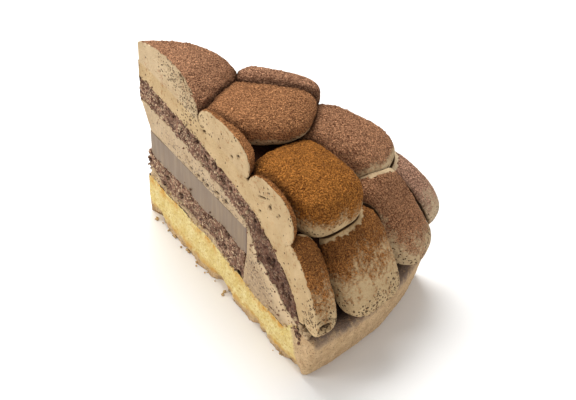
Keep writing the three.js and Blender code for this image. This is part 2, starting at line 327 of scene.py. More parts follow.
# Baked shortcrust: matt and sandy. Its inside is pale butter yellow with golden flecks, and
# its skin is a light biscuit brown. On top it is darkened by cocoa dust with painted shade on
# the ledge, by painted shade along the top of the wall, and by a near-black painted shadow on
# the ledge under the dollops.
shortcrust, tree, shader = material("baked_shortcrust", Roughness=0.85)
sand = pattern(tree, 0.8, 3)
blotch = pattern(tree, 5.0)
own, away = grains(tree, 0.6)
inside = mix(tree, blotch, "#E2C674", "#F4E4A4")
inside = mix(tree, sums(tree, (pattern(tree, 2.2, 2, 0.5, 0.75), 0.7)), inside, "#F6E79C")
inside = mix(tree, sums(tree, (sand, 0.6)), inside, "#CBA95C")
inside = mix(tree, sums(tree, (ramp(tree, own, 0.6, 1.0), 0.4)), inside, "#F4E6B4")
inside = mix(tree, sums(tree, (ramp(tree, own, 0.16, 0.04), 0.6)), inside, "#C0923F")
golden = product(tree, mark(tree, "golden"), pattern(tree, 2.2, 2, 0.35, 0.6))
inside = mix(tree, golden, inside, "#D2993C")
skin_colour = mix(tree, pattern(tree, 2.6, 3), "#BC986E", "#D8B88C")
skin_colour = mix(tree, pattern(tree, 0.6, 1, 0.55, 0.75), skin_colour, "#94724C")
baked = mix(tree, mark(tree, "baked"), inside, skin_colour)
# Cocoa dust on the ledge, with painted shade on it and on the top of the wall, then a painted shadow under
# the dollops.
dusted = product(tree, mark(tree, "dust"), pattern(tree, 1.6, 3, 0.15, 0.55))
baked = mix(tree, dusted, baked, "#86705F")
baked = mix(tree, mark(tree, "damp"), baked, "#2E1D14")
height = sums(tree, (sand, 0.6), (away, -0.8), (pattern(tree, 0.45, 2), 0.3))
paint(tree, shader, baked, height, 0.9, 0.0004)

sides = np.linspace(0, 1, SIDE_STEPS)
bevel = FOOT_RADIUS - 1 + BEVEL_SPREAD * sides
flare = FOOT_RADIUS + 1 + (RIM_RADIUS - FOOT_RADIUS - 1) * (sides - FOOT_BEVEL) / (1 - FOOT_BEVEL)
side_ring = np.stack([outline(reach) for reach in np.minimum(bevel, flare)])
foot_ring, lip_ring = side_ring[0], side_ring[-1]
side_z = sides[:, None] * crust_top(np.linalg.norm(lip_ring, axis=-1))
shrink_top = (1 - np.linspace(0, 1, TOP_RINGS + 1)[1:-1] ** 1.7)[:, None, None]
shrink_foot = np.linspace(0.2, 0.97, BOTTOM_RINGS)[:, None, None]
foot_rings = CRUST_CENTRE + (foot_ring - CRUST_CENTRE) * shrink_foot
top_rings = CRUST_CENTRE + (lip_ring - CRUST_CENTRE) * shrink_top
flat = np.concatenate([foot_rings, side_ring, top_rings])
tall = np.concatenate([np.zeros(foot_rings.shape[:2]), side_z, crust_top(np.linalg.norm(top_rings, axis=-1))])
tangent = np.roll(lip_ring, -1, 0) - np.roll(lip_ring, 1, 0)
outward = np.stack([tangent[:, 1], -tangent[:, 0]], -1) / np.linalg.norm(tangent, axis=-1, keepdims=True)
outward = np.broadcast_to(outward, flat.shape)
radius = np.linalg.norm(flat, axis=-1)
nearness = np.concatenate([shrink_foot[:, 0, 0], np.ones(SIDE_STEPS), shrink_top[:, 0, 0]])[:, None] ** 10
spots = np.concatenate([flat, tall[..., None]], -1).reshape(-1, 3)
walls = smoothstep(np.abs(outward[..., 0]), 0.4, 0.8)
chipped = np.zeros(radius.shape)
for cut_side, chips in CHIPS.items():
    for at, wide, deep in chips:
        chipped += (outward[..., 1] * cut_side > 0.5) * deep * np.exp(-(((radius - at) / wide) ** 2))
ragged = fractal(spots, 3.0, 5).reshape(radius.shape)
chipped = chipped * (1 - smoothstep(tall, 0, 7.5))
chipped = chipped + 0.9 * (1 - walls) * (ragged + 0.2) * (1 - smoothstep(tall, 0, 3))
sandy = fractal(spots, 1.6, 9, 3).reshape(radius.shape)
broad = noise(spots, 9.0, 13).reshape(radius.shape)
grainy = fractal(spots, 0.9, 15, 2).reshape(radius.shape)
push = (0.45 - 0.31 * walls) * sandy + (0.26 - 0.14 * walls) * grainy + (0.3 + 0.25 * walls) * broad
push = push - np.maximum(chipped, -0.4)
flat = flat + outward * (push * nearness)[..., None]
on_top = np.arange(len(flat))[:, None] >= BOTTOM_RINGS + SIDE_STEPS
tall = tall + on_top * (0.3 * sandy + 0.25 * broad)
under_foot = np.arange(len(flat))[:, None] < BOTTOM_RINGS
tall = np.maximum(tall + under_foot * 0.25 * (0.5 + 0.5 * sandy), 0)
ends = [(*CRUST_CENTRE, 0.1), (*CRUST_CENTRE, crust_top(CRUST_CENTRE[0]))]
crust_points = np.concatenate([np.concatenate([flat, tall[..., None]], -1).reshape(-1, 3), ends])
r_all = np.linalg.norm(crust_points[:, :2], axis=-1)
z_all = crust_points[:, 2]
walls_all = np.append(np.broadcast_to(walls, tall.shape).ravel(), [0, 0])
on_top_all = np.append(np.broadcast_to(on_top, tall.shape).ravel(), [0, 1])
wander = 1.3 * fractal(crust_points, 4.0, 21)
skin_depth = smoothstep(z_all + 1.5 * wander, 3.6, 1.4)
wall_depth = smoothstep(r_all + wander + 0.25 * (z_all - 10), 98.5, 100.5)
baked_mark = np.maximum.reduce([skin_depth, wall_depth, walls_all, on_top_all])
edge = crust_top(r_all) - z_all
golden_mark = smoothstep(edge + wander, 5.0, 0.8) * smoothstep(fractal(crust_points, 7.0, 23, 2), -0.15, 0.25)
golden_mark = np.maximum(golden_mark, 0.9 * smoothstep(z_all + 1.5 * wander, 6.4, 3.2))
# The ledge's cocoa dust carries painted shade too. The wall's top gets painted shade under the dollops, and
# the inner ledge gets a painted shadow.
ledge_dust = on_top_all * smoothstep(r_all, 90, 95) * smoothstep(r_all + wander, 110.5, 107)
dust_mark = ledge_dust + 0.6 * smoothstep(edge + 0.7 * wander, 3.5, 0) * walls_all
damp_mark = on_top_all * smoothstep(r_all + 0.4 * wander, 107, 104.5)
piece(
    "shortcrust_base", crust_points, ring_faces(len(flat), OUTLINE_POINTS), shortcrust, "crust", ["crust"],
    baked=baked_mark, golden=golden_mark, dust=dust_mark, damp=damp_mark,
)

# Layers of the filling: each runs through the slice between a lower and an upper face. The
# two sponges are baked chocolate crumb, which tears under the knife into clods and pits.
SMEAR, SMEAR_FROM, SMEAR_END = 1.8, 3.2, 62.0
DISC_FROM, DISC_RADIUS = 2.4, 68.0
GANACHE_FROM, GANACHE_RADIUS = 4.2, 70.0
GANACHE_BOTTOM, GANACHE_TOP = 29.3, 39.8
LAP = 0.3  # how far each layer reaches into the next, so that no gap shows between them


def lattice_skin(along, around, up):
    """The outside of a box of along x around x up cells: each point's shares (u, v, w), and the quads."""
    counts = (along + 1, around + 1, up + 1)
    ids = np.arange(np.prod(counts)).reshape(counts)

    def sheet(g):
        return np.stack([g[:-1, :-1], g[1:, :-1], g[1:, 1:], g[:-1, 1:]], -1).reshape(-1, 4)

    faces = [ids[:, :, -1], ids[:, :, 0].T, ids[:, 0, :], ids[:, -1, :].T, ids[-1], ids[0].T]
    used, quads = np.unique(np.concatenate([sheet(g) for g in faces]), return_inverse=True)
    shares = np.stack(np.unravel_index(used, counts), -1) / [along, around, up]
    return shares, quads.reshape(-1, 4)


def curve(points):
    """A smooth line through (r, z) points, for t from 0 to 1: cubic pieces with Catmull-Rom slopes."""
    knots = np.array(points, float)
    knots = np.concatenate([2 * knots[:1] - knots[1:2], knots, 2 * knots[-1:] - knots[-2:-1]])

    def at(t):
        spot = np.clip(t, 0, 0.999999) * (len(knots) - 3)
        i = spot.astype(int)
        u = (spot - i)[..., None]
        a, b, c, d = (knots[i + k] for k in range(4))
        square, cube = 2 * a - 5 * b + 4 * c - d, 3 * b - a - 3 * c + d
        return 0.5 * (2 * b + (c - a) * u + square * u**2 + cube * u**3)

    return at


def bent(points):
    """Straight stretches through (r, z) points, as a function of t from 0 to 1, equal shares each."""
    knots = np.array(points, float)
    shares = np.linspace(0, 1, len(knots))
    return lambda t: np.stack([np.interp(t, shares, knots[:, k]) for k in (0, 1)], -1)


def level(start, end, height):
    """The line over r from start to end whose height is a function of r, as a function of t from 0 to 1."""
    return lambda t: np.stack([start + (end - start) * t, height(start + (end - start) * t)], -1)


def raised(line, distance):
    """The line moved square to itself by that distance, to the left of its direction."""
    def at(t):
        step = line(np.clip(t + 0.003, 0, 1)) - line(np.clip(t - 0.003, 0, 1))
        step = step / np.linalg.norm(step, axis=-1, keepdims=True)
        return line(t) + distance * np.stack([-step[..., 1], step[..., 0]], -1)

    return at


def smear_top(r):
    """The floor plus the smear, thickest at the tip, which waves and runs out towards the disc's edge."""
    thick = SMEAR + 0.5 * np.sin(0.42 * r) + 2.2 * smoothstep(r, 14, 4)
    return floor_height(r) + 0.8 + thick * (1 - smoothstep(r, SMEAR_END - 22, SMEAR_END))


def ganache_bottom(r):
    """A slow wave about the height where the ganache was poured on the sponge."""
    return GANACHE_BOTTOM + 0.5 * np.sin(0.24 * r + 1)


droop_lower = curve([
    (-1.4, 50.2), (12, 49.5), (27, 48.9), (41, 47.2), (53.4, 45.4), (62.4, 43.8), (68.2, 41.6), (71.8, 38.4),
    (74.4, 34.8), (77.8, 32), (82.2, 29.6), (86.8, 26.8), (91.6, 24), (96, 21.6), (100.2, 20.2),
])
droop_upper = curve([
    (-1.6, 60), (12, 59.2), (27, 57.8), (41, 56.8), (52, 55), (61, 53.3), (68, 51.6), (73.4, 49.4),
    (78, 47.2), (82, 45), (86, 42.4), (90, 39.6), (94, 36), (98.6, 30.6), (102.6, 23.8),
])
coat_top = curve([
    (-1.8, 67), (12, 66.6), (27, 66), (42, 65), (53, 63.6), (62, 61.8), (69, 60), (75, 58.2),
    (80.4, 56.4), (85.4, 54), (90, 51), (94.2, 47.2), (98, 42), (101.8, 34), (104.2, 24.4),
])
TORN = np.concatenate([  # (r, z) along both edges of both sponges
    droop_lower(np.linspace(0, 1, 160)), droop_upper(np.linspace(0, 1, 160)),
    level(DISC_FROM, DISC_RADIUS, smear_top)(np.linspace(0, 1, 90)),
    level(DISC_FROM, DISC_RADIUS, ganache_bottom)(np.linspace(0, 1, 90)),
])
TORN_REACH = 1.4
SIDES_APART = 40.0  # mm off the middle where each cut takes its noise, so that the two differ


def torn(flat_points):
    """How far the knife dragged each (r, z) of a cut: about 0.8 mm at a sponge's edge, less further off."""
    away = np.full(len(flat_points), 9.0)
    for spot in TORN:
        away = np.minimum(away, np.hypot(flat_points[:, 0] - spot[0], flat_points[:, 1] - spot[1]))
    drag = np.stack([fractal(flat_points, 2.6, seed, 3) for seed in (33, 37)], -1)
    return 1.3 * drag * np.exp(-((away / TORN_REACH) ** 2))[:, None]


def filling(name, lower, upper, counts, relief, skin, slot, nodes, dusted=False):
    """A layer between two lines swept round the slice: its two cut faces are moved square to themselves by
    relief(flat points, side), in mm, which also returns each point's marks. One with cocoa on top also
    has that top painted near black as shade."""
    shares, quads = lattice_skin(*counts)
    u, v, w = shares.T
    low, high = lower(u), upper(u)
    r, z = (low + (high - low) * w[:, None]).T
    side = np.where(v == 0, -1, np.where(v == 1, 1, 0))
    flat_points = np.stack([r, z, SIDES_APART * side], -1)
    push, marks = relief(flat_points, side)
    if dusted:
        marks["cocoa"] = (w == 1) * (side == 0.0)
        # Painted shade: the coat's top shows only in the crevices between dollops, so all of it is painted
        # near black.
        marks["moist"] = 1.0 * marks["cocoa"]
    drag = torn(flat_points) * (side != 0)[:, None]
    points = place(r + drag[:, 0], HALF * (2 * v - 1), z + drag[:, 1])
    push = push * (side != 0)
    points = points + push[:, None] * np.stack([0 * push - np.sin(HALF), side * np.cos(HALF), 0 * push], -1)
    piece(name, points, quads, skin, slot, nodes, **marks)


GOUGES = [  # centre (r, z) and half width of the deepest pits, where the knife pulled clods out
    (83.2, 35.9, 1.7), (85.6, 37.2, 1.2), (74.4, 46.6, 1.2), (77.4, 44.4, 1.1), (31.4, 55.2, 1.3),
    (41.0, 55.4, 1.0), (49.0, 54.4, 1.1), (53.5, 53.4, 0.9), (45.0, 49.2, 0.9), (88.5, 32.0, 0.9),
]


def crumb_relief(seed, rough=1.0):
    """Torn crumb: clods 1.3 and 3 mm wide, creases between them, pits where a clod fell out, and gouges."""
    def relief(flat_points, side):
        fine, _ = clumps(flat_points, 1.3, seed)
        coarse, own = clumps(flat_points, 3.0, seed + 9)
        pit = smoothstep(own, 0.70, 0.78) * smoothstep(coarse, 0.62, 0.25)
        ragged = 0.5 * fractal(flat_points, 1.5, seed + 7, 2)
        for at, high, wide in GOUGES:
            reach = np.hypot(flat_points[:, 0] - at, flat_points[:, 1] - high) / wide
            pit = np.maximum(pit, smoothstep(reach + ragged, 1.2, 0.6))
        slow = fractal(flat_points, 5.0, seed + 5)
        push = 0.65 * (0.45 - fine) + 0.75 * (0.45 - coarse) + 0.5 * slow - 1.5 * pit
        # The creases and pits are marked for painted shade, and the crumb is marked darker from 62 to 80 mm
        # out.
        hollow = np.clip(pit + smoothstep(fine, 0.55, 0.85) * 0.5 + smoothstep(coarse, 0.6, 0.9) * 0.45, 0, 1)
        return rough * push, {"pit": hollow, "damp": smoothstep(flat_points[:, 0], 62, 80)}

    return relief


# Chocolate sponge: matt and open. Grey-brown clods catch the light, and the creases and pits
# between them are painted near black as shade. From 62 to 80 mm out it is darker.
sponge_skin, tree, shader = material("chocolate_sponge", Roughness=0.95)
own, away = grains(tree, 1.0)
tiny, _ = grains(tree, 0.55)
crumb_colour = mix(tree, own, "#66402E", "#BA8F72")
crumb_colour = mix(tree, ramp(tree, tiny, 0.74, 0.9), crumb_colour, "#DDBF98")
crumb_colour = mix(tree, pattern(tree, 4.0, 1, 0.5, 0.8), crumb_colour, "#84604A")
# Darker towards the rim, then painted shade in the creases and pits.
crumb_colour = mix(tree, sums(tree, (mark(tree, "damp"), 0.6)), crumb_colour, "#5A321C")
shade = sums(tree, (mark(tree, "pit"), 0.8), (ramp(tree, tiny, 0.20, 0.10), 0.6))
crumb_colour = mix(tree, shade, crumb_colour, "#3A2014")
height = sums(tree, (away, -1.0), (pattern(tree, 0.5, 2), 0.4), (tiny, 0.3))
paint(tree, shader, crumb_colour, height, 1.0, 0.0007)

filling(
    "sponge_disc_lower", level(DISC_FROM, DISC_RADIUS, lambda r: smear_top(r) - LAP),
    level(DISC_FROM, DISC_RADIUS, lambda r: ganache_bottom(r) + LAP),
    (200, 6, 28), crumb_relief(11), sponge_skin, "sponge", ["lower_sponge"],
)
filling(
    "sponge_disc_upper", raised(droop_lower, -LAP), raised(droop_upper, LAP),
    (340, 6, 30), crumb_relief(70), sponge_skin, "sponge", ["upper_sponge"],
)

# Ganache: cream and chocolate poured on the sponge and set smooth, so that the knife only
# leaves faint upright streaks in it.
ganache_skin, tree, shader = material("set_ganache", Roughness=0.5)
streak = pattern(tree, 1.5, 3, 0.3, 0.7, (1, 1, 0.08))
ganache_colour = mix(tree, streak, "#7A644D", "#8E765A")
ganache_colour = mix(tree, pattern(tree, 9.0, 2), ganache_colour, "#7C6650")
ganache_colour = mix(tree, sums(tree, (mark(tree, "rind"), 0.6)), ganache_colour, "#64493A")
paint(tree, shader, ganache_colour, streak, 0.5, 0.00025)


def knife_relief(flat_points, side):
    """A smooth cut: shallow upright drags, 3 mm apart, that hardly change with height; a rind at the rim."""
    drawn = flat_points * [1, 0.1, 1]
    wavy = flat_points[:, 0] + 0.4 * noise(flat_points, 3.0, 18)
    rind = smoothstep(wavy, GANACHE_RADIUS - 1.6, GANACHE_RADIUS - 0.4)
    return 0.16 * fractal(drawn, 3.0, 17) + 0.12 * noise(flat_points, 8.0, 19), {"rind": rind}


filling(
    "ganache_disc", level(GANACHE_FROM, GANACHE_RADIUS, ganache_bottom),
    level(GANACHE_FROM, GANACHE_RADIUS, lambda r: 0 * r + GANACHE_TOP),
    (190, 6, 28), knife_relief, ganache_skin, "ganache", ["ganache"],
)

# Coffee mousse: whipped cream and coffee, set in the ring. Cut, it is smooth and beige with
# air bubbles, which crowd along the ganache, at the tip's top and where it was piped last.
AIRY = [  # centre (r, z), half widths and share of cells with a bubble, on the cut faces
    (26, 74, 11, 4, 1.0), (33, 68, 5, 8, 1.0), (40, 66, 6, 5, 0.25), (47, 42, 22, 2.0, 1.0),
    (18, 45, 14, 2, 0.3), (77, 27, 7, 9, 0.5), (96, 62, 2, 6, 0.4), (82, 62, 9, 6, 0.08),
    (108, 31, 4, 6, 0.9),
]
SLOTS = [  # centre (r, z), half length, half width, depth and slope in degrees, all on the near cut
    (78.4, 59.2, 2.2, 0.35, 1.1, 22), (83, 58.2, 0.9, 0.7, 0.9, 0), (77.2, 52.8, 0.8, 0.4, 0.9, 20),
    (88.2, 58.5, 0.6, 0.5, 0.9, 0), (42.2, 62.6, 1.3, 0.5, 0.9, 30), (64, 66.2, 0.9, 0.5, 0.9, 25),
    (60, 63.6, 0.9, 0.5, 0.8, 20), (37.8, 41, 1.4, 0.5, 1.2, 25), (41.3, 41.4, 1.0, 0.6, 1.2, 10),
    (44, 41, 1.3, 0.5, 1.0, 25), (50.5, 42, 1.5, 0.5, 1.2, 20), (56, 42, 1.3, 0.7, 1.3, 30),
    (33.2, 41.2, 0.8, 0.5, 1.0, 0), (25.2, 41, 0.7, 0.4, 0.8, 0), (27.2, 76.4, 1.1, 0.8, 0.9, 0),
]
BUBBLE_CELL = 0.75  # mm from one fine bubble to the next, a little more than is real, so that they show


def airiness(flat_points):
    """The share of bubbly cells at (r, z) on a cut: a low share everywhere, more round each airy spot."""
    r, z = flat_points[:, 0], flat_points[:, 1]
    share = np.full(len(r), 0.025)
    for at, high, wide, tall_half, most in AIRY:
        share = np.maximum(share, most * np.exp(-(((r - at) / wide) ** 2) - ((z - high) / tall_half) ** 2))
    return share


def mousse_relief(flat_points, side):
    """Bubbles as round pits up to 0.9 mm deep where the mousse is airy, slots, and a slight unevenness."""
    airy = airiness(flat_points)
    distance, own = clumps(flat_points, 2.6, 41)
    pit = smoothstep(airy * 0.5 - own, -0.02, 0.02) * smoothstep(distance, 0.3, 0.12)
    deep = 0.9 * pit
    for at, high, long, wide, depth, slope in SLOTS:
        turn = np.radians(slope)
        dr, dz = flat_points[:, 0] - at, flat_points[:, 1] - high
        along, across = dr * np.cos(turn) + dz * np.sin(turn), dz * np.cos(turn) - dr * np.sin(turn)
        shape = np.exp(-((along / long) ** 4) - (across / wide) ** 4) * (side <= 0)
        deep = np.maximum(deep, depth * shape)
        pit = np.maximum(pit, shape)
    push = 0.12 * fractal(flat_points, 4.0, 47) + 0.15 * noise(flat_points, 11.0, 49) - deep
    r, z = flat_points[:, 0], flat_points[:, 1]
    # Low towards the rim the cut is drawn sandy and darker, which is partly painted shade, and below 50 mm,
    # short of 74 mm out, the fill is painted darker as shade.
    sandy_and_shade = smoothstep(z + 0.62 * (r - 70) + 3 * noise(flat_points, 6.0, 51), 38, 28) * smoothstep(r, 64, 72)
    sandy_and_shade = np.maximum(0.8 * sandy_and_shade, 0.5 * smoothstep(z, 51, 49) * (r < 74))
    return push, {"airy": airy, "pit": pit, "sandy_and_shade": sandy_and_shade}


def mousse_look(tree, pale="#D8BE96", deep="#C6A87E"):
    """Colour and height of set mousse: slow blotches of two beiges, a darker sandy beige that is partly
    painted shade, and painted shade in the bubbles where airy and in the pits.
    """
    colour = mix(tree, pattern(tree, 7.0, 3), deep, pale)
    colour = mix(tree, mark(tree, "sandy_and_shade"), colour, mix(tree, pattern(tree, 0.9, 2), "#7E6246", "#B79A74"))
    own, away = grains(tree, BUBBLE_CELL)
    there = add(tree, "Math", {0: own, 1: mark(tree, "airy")}, operation="LESS_THAN").outputs[0]
    near = ramp(tree, sums(tree, (away, 1.0), (own, 0.25)), 0.54, 0.36)
    bubble = product(tree, there, near)
    hole = ramp(tree, mark(tree, "pit"), 0.35, 0.6)
    dark = add(tree, "Math", {0: bubble, 1: hole}, operation="MAXIMUM").outputs[0]
    colour = mix(tree, sums(tree, (dark, 0.85)), colour, "#4A3322")
    height = sums(tree, (pattern(tree, 0.8, 2), 0.25), (bubble, -1.0))
    return colour, height


mousse_skin, tree, shader = material("coffee_mousse", Roughness=0.62)
colour, height = mousse_look(tree)
paint(tree, shader, colour, height, 0.6, 0.0003)

# Cream smear under the lower disc: the same mousse, full of the crumbs it picked up from both
# sides, so it looks sandy and tan and not smooth.
smear_skin, tree, shader = material("crumbed_cream", Roughness=0.85)
smear_colour = mix(tree, pattern(tree, 1.6, 3), "#B0916B", "#CFB48C")
smear_colour = mix(tree, pattern(tree, 0.7, 1, 0.56, 0.7), smear_colour, "#7E5F48")
# Painted shade in the smear's pits.
smear_colour = mix(tree, sums(tree, (mark(tree, "pit"), 0.5)), smear_colour, "#5E4432")
paint(tree, shader, smear_colour, pattern(tree, 0.9, 3), 0.8, 0.0005)
filling(
    "cream_smear", level(SMEAR_FROM, SMEAR_END, lambda r: floor_height(r) - LAP),
    level(SMEAR_FROM, SMEAR_END, smear_top),
    (170, 6, 10), crumb_relief(29, 0.6), smear_skin, "mousse", ["base_cream"],
)

# Mousse between the discs and over them: the first fill was poured round and over the disc of
# ganache, the drooping sponge was laid on it, and the coat was spread over that.
fill_over_discs = bent([
    (5, GANACHE_TOP), (20, GANACHE_TOP), (35, GANACHE_TOP), (48, GANACHE_TOP), (59, GANACHE_TOP),
    (66, GANACHE_TOP), (GANACHE_RADIUS, GANACHE_TOP - 0.3), (GANACHE_RADIUS, 34),
    (GANACHE_RADIUS, GANACHE_BOTTOM), (DISC_RADIUS + 0.5, 21), (DISC_RADIUS, floor_height(DISC_RADIUS)),
])
fill_on_floor = level(DISC_RADIUS, 96, lambda r: floor_height(r) - LAP)
DISC_SHARE = 5 / 7


def fill_under(t):
    """Over the discs and down their side for five sevenths of the line, then along the crust's floor."""
    over = fill_over_discs(np.clip(t / DISC_SHARE, 0, 1))
    on_floor = fill_on_floor(np.clip((t - DISC_SHARE) / (1 - DISC_SHARE), 0, 1))
    return np.where((t > DISC_SHARE)[:, None], on_floor, over)


filling(
    "mousse_fill", fill_under, raised(droop_lower, LAP),
    (330, 6, 34), mousse_relief, mousse_skin, "mousse", ["lower_mousse"],
)

# Sifted cocoa on mousse: a matt powder of fine clumps that hides the cream where it lies
# thick and lets it through in flecks where it is thin. The grains are drawn 0.4 to 0.9 mm
# wide, coarser than the real powder, because finer ones would not show.
dusted_skin, tree, shader = material("sifted_cocoa_on_mousse", Roughness=0.9, Specular_IOR_Level=0.12)
# Painted sheen: a dollop marked for it gets paler, greyer cream and powder, standing in for a haze of
# reflected light.
cream_pale = mix(tree, mark(tree, "tone"), "#CFB388", "#D2BB9A")
cream_deep = mix(tree, mark(tree, "tone"), "#BC9E74", "#BFA786")
cream, cream_height = mousse_look(tree, cream_pale, cream_deep)
fleck = pattern(tree, 0.9, 3, 0.3, 0.7)
streaks = pattern(tree, 2.6, 2, 0.3, 0.7, (0.9, 1, 0.45))
amount = sums(tree, (mark(tree, "cocoa"), 2.6), (fleck, 1.2), (streaks, 0.8))
cover = ramp(tree, amount, 1.25, 2.6)
own, away = grains(tree, 0.5)
fine = pattern(tree, 0.42, 2, 0.4, 0.6)
share = sums(tree, (own, 0.4), (fine, 0.5), (pattern(tree, 7.0, 2), 0.15))
powder = mix(tree, mark(tree, "tone"), "#542605", "#6E4230")
powder = mix(tree, share, powder, mix(tree, mark(tree, "tone"), "#E89846", "#FFC8A6"))
# Painted shade: the powder turns near black where marked, in the crevices and over the coat.
powder = mix(tree, mark(tree, "moist"), powder, "#351A0B")
powder_height = sums(tree, (away, -0.8), (fine, 0.7), (pattern(tree, 1.0, 2), 0.9))
height = add(tree, "Mix", {0: cover, 2: cream_height, 3: powder_height}).outputs[0]
paint(tree, shader, mix(tree, cover, cream, powder), height, 1.0, 0.0009)
filling(
    "mousse_coat", raised(droop_upper, -LAP), coat_top,
    (330, 30, 30), mousse_relief, dusted_skin, "mousse", ["upper_mousse"], dusted=True,
)

# Piped dollops: balls of mousse drawn out by the nozzle, ring after ring down the slope, then
# sifted with cocoa from above. It lies thick on top, thins out where a side turns steep and
# misses what another dollop hangs over. Where they touch, and in the swirl at one end, they
# are painted dark as shade.
BARE_BELOW = {  # slopes where the cocoa is gone and is full
    "covered": (-0.8, -0.25), "edged": (-0.6, 0.2), "lipped": (-0.4, 0.5), "lifted": (0.0, 0.85),
    "thin": (-0.5, 0.5),
}
DOLLOPS = {
    # Its radius, angle, height, half length, half width, half height, tilt, twist, belly, fullness
    # seen from above and from the side, painted sheen (golden 0 to greyish 1), which slopes are bare
    # and how far down its length the cocoa thins out. Its node says dollop where its name says piped.
    "piped_centre": (12.3, 2.0, 62.3, 25.2, 24.7, 16.0, -9.9, 9.5, 0.0, 3, 2.3, 0.6, "covered", 9),
    "piped_inner_3": (51.3, 25.0, 68.0, 16.2, 11.0, 7.7, -2.0, 0.0, 0.0, 3, 3.0, 0.7, "covered", 9),
    "piped_inner_1": (50.7, 2.7, 66.4, 19.0, 14.7, 7.6, -6.5, 23.0, 0.05, 3, 2.3, 0.35, "edged", 9),
    "piped_inner_2": (55.0, -25.4, 65.2, 17.2, 12.0, 9.0, 1.0, 12.0, 0.0, 3, 2.3, 0.25, "covered", 9),
    "piped_middle_1": (81.4, -7.1, 56.7, 18.3, 13.9, 11.1, -1.2, -3.4, -0.1, 3.6, 2.7, 0.0, "lipped", 9),
    "piped_middle_2": (77.6, 13.3, 56.4, 17.4, 11.5, 9.7, 12.6, 0.5, 0.0, 3, 2.3, 0.55, "lifted", 9),
    "piped_middle_3": (83.3, -22.9, 56.5, 14.6, 11.3, 11.4, -3.0, -7.0, 0.0, 3, 2.3, 0.15, "covered", 9),
    "piped_outer_1": (101.8, -4.6, 35.2, 17.4, 13.2, 8.0, 57.4, -2.2, -0.04, 3.8, 2.3, 0.1, "thin", 0.8),
    "piped_outer_2": (99.0, 9.6, 35.8, 20.8, 10.4, 10.1, 64.4, 12.5, 0.04, 3.8, 2.3, 0.5, "thin", 1.15),
    "piped_outer_3": (101.6, -17.1, 37.6, 16.6, 6.8, 6.0, 57.9, -2.8, 0.12, 3, 2.3, 0.1, "thin", 1.1),
    "piped_outer_4": (95.6, 19.5, 38.6, 17.6, 13.7, 10.6, 42.0, 10.0, 0.12, 3, 2.3, 1.0, "thin", 1.2),
}
KEYS = "r angle z length width height tilt twist belly plan side tone slopes ends".split()
DOLLOPS = {name: dict(zip(KEYS, values)) for name, values in DOLLOPS.items()}
CELL = 0.46  # width of a dollop's mesh cells in mm
COAT_SINK = 1.0  # how far a dollop's foot is sunk in the coat
GAP = 0.6  # between a dollop and those that hang over it, away from the cuts
CLOSED = 2.0  # how much less of it is left at a cut, where the knife pressed them together
TIP_END = -1.9


def axes_of(one):
    """A dollop's middle, and its directions: down the slope and sideways, both twisted, and off it."""
    turn, lean, twist = np.radians([one["angle"], one["tilt"], one["twist"]])
    out, rise = np.array([np.cos(turn), np.sin(turn), 0]), np.array([0, 0, 1.0])
    along, across = out * np.cos(lean) - rise * np.sin(lean), np.array([-out[1], out[0], 0])
    first = np.cos(twist) * along + np.sin(twist) * across
    second = np.cos(twist) * across - np.sin(twist) * along
    off_slope = out * np.sin(lean) + rise * np.cos(lean)
    return one["r"] * out + one["z"] * rise, np.stack([first, second, off_slope])


def round_depth(points, one):
    """How far points stand out of a dollop, in mm along the ray from its middle: a superellipsoid's reach."""
    middle, axes = axes_of(one)
    s, t, n = ((points - middle) @ axes.T).T
    s, n = s / one["length"], n / one["height"]
    t = t / (one["width"] * (1 + one["belly"] * np.clip(s, -1, 1)))
    plan = (np.abs(s) ** one["plan"] + np.abs(t) ** one["plan"]) ** (1 / one["plan"])
    size = (plan ** one["side"] + np.abs(n) ** one["side"]) ** (1 / one["side"])
    return np.linalg.norm(points - middle, axis=-1) * (1 - 1 / np.maximum(size, 1e-6))


def cut_depth(points, side):
    """How far points stand out of the slice beyond one of its two cuts, in mm."""
    r = points[:, 0] / np.cos(HALF)
    width = 0.5 * (r + np.sqrt(r * r + 4 * TIP_BLUNT**2))
    return (side * points[:, 1] - width * np.sin(HALF)) * np.cos(HALF)


coat_r, coat_z = coat_top(np.linspace(0, 1, 400)).T


def coat_depth(points):
    """How far points lie under the coat's face, in mm, less what a dollop's foot is sunk."""
    r = np.linalg.norm(points[:, :2], axis=-1)
    return np.interp(r, coat_r, coat_z) - COAT_SINK - points[:, 2]


def softer_max(first, second, soft):
    """The larger of two distances, with the crease between them rounded over `soft` mm."""
    share = np.clip(0.5 + 0.5 * (first - second) / soft, 0, 1)
    return second + (first - second) * share + soft * share * (1 - share)


def dollop_depth(points, one, above, proud):
    """How far points stand out of a dollop that the cuts, the coat and the dollops `above` it shape."""
    depth = round_depth(points, one)
    nearest_cut = np.maximum(cut_depth(points, -1), cut_depth(points, 1))
    gap = GAP - CLOSED * smoothstep(nearest_cut, -3.5, -0.4)
    for other in above:
        depth = softer_max(depth, gap - round_depth(points, other), 0.8)
    depth = softer_max(depth, coat_depth(points), 0.5)
    depth = softer_max(depth, TIP_END - points[:, 0], 0.6)
    for side in (-1, 1):
        depth = softer_max(depth, cut_depth(points, side) - proud, 0.7)
    return depth


def point_normals(points, quads):
    """The direction off the surface at each point: the sum of its faces' normals, made one long."""
    a, b, c, d = (points[quads[:, k]] for k in range(4))
    face = np.cross(c - a, d - b)
    total = [np.bincount(quads.ravel(), np.repeat(face[:, k], 4), len(points)) for k in range(3)]
    total = np.stack(total, -1)
    return total / np.maximum(np.linalg.norm(total, axis=-1, keepdims=True), 1e-12)


def clearance(points, others):
    """How far points are off the nearest of other dollops, in mm and 9 at most."""
    return np.min([np.full(len(points), 9.0)] + [round_depth(points, other) for other in others], 0)


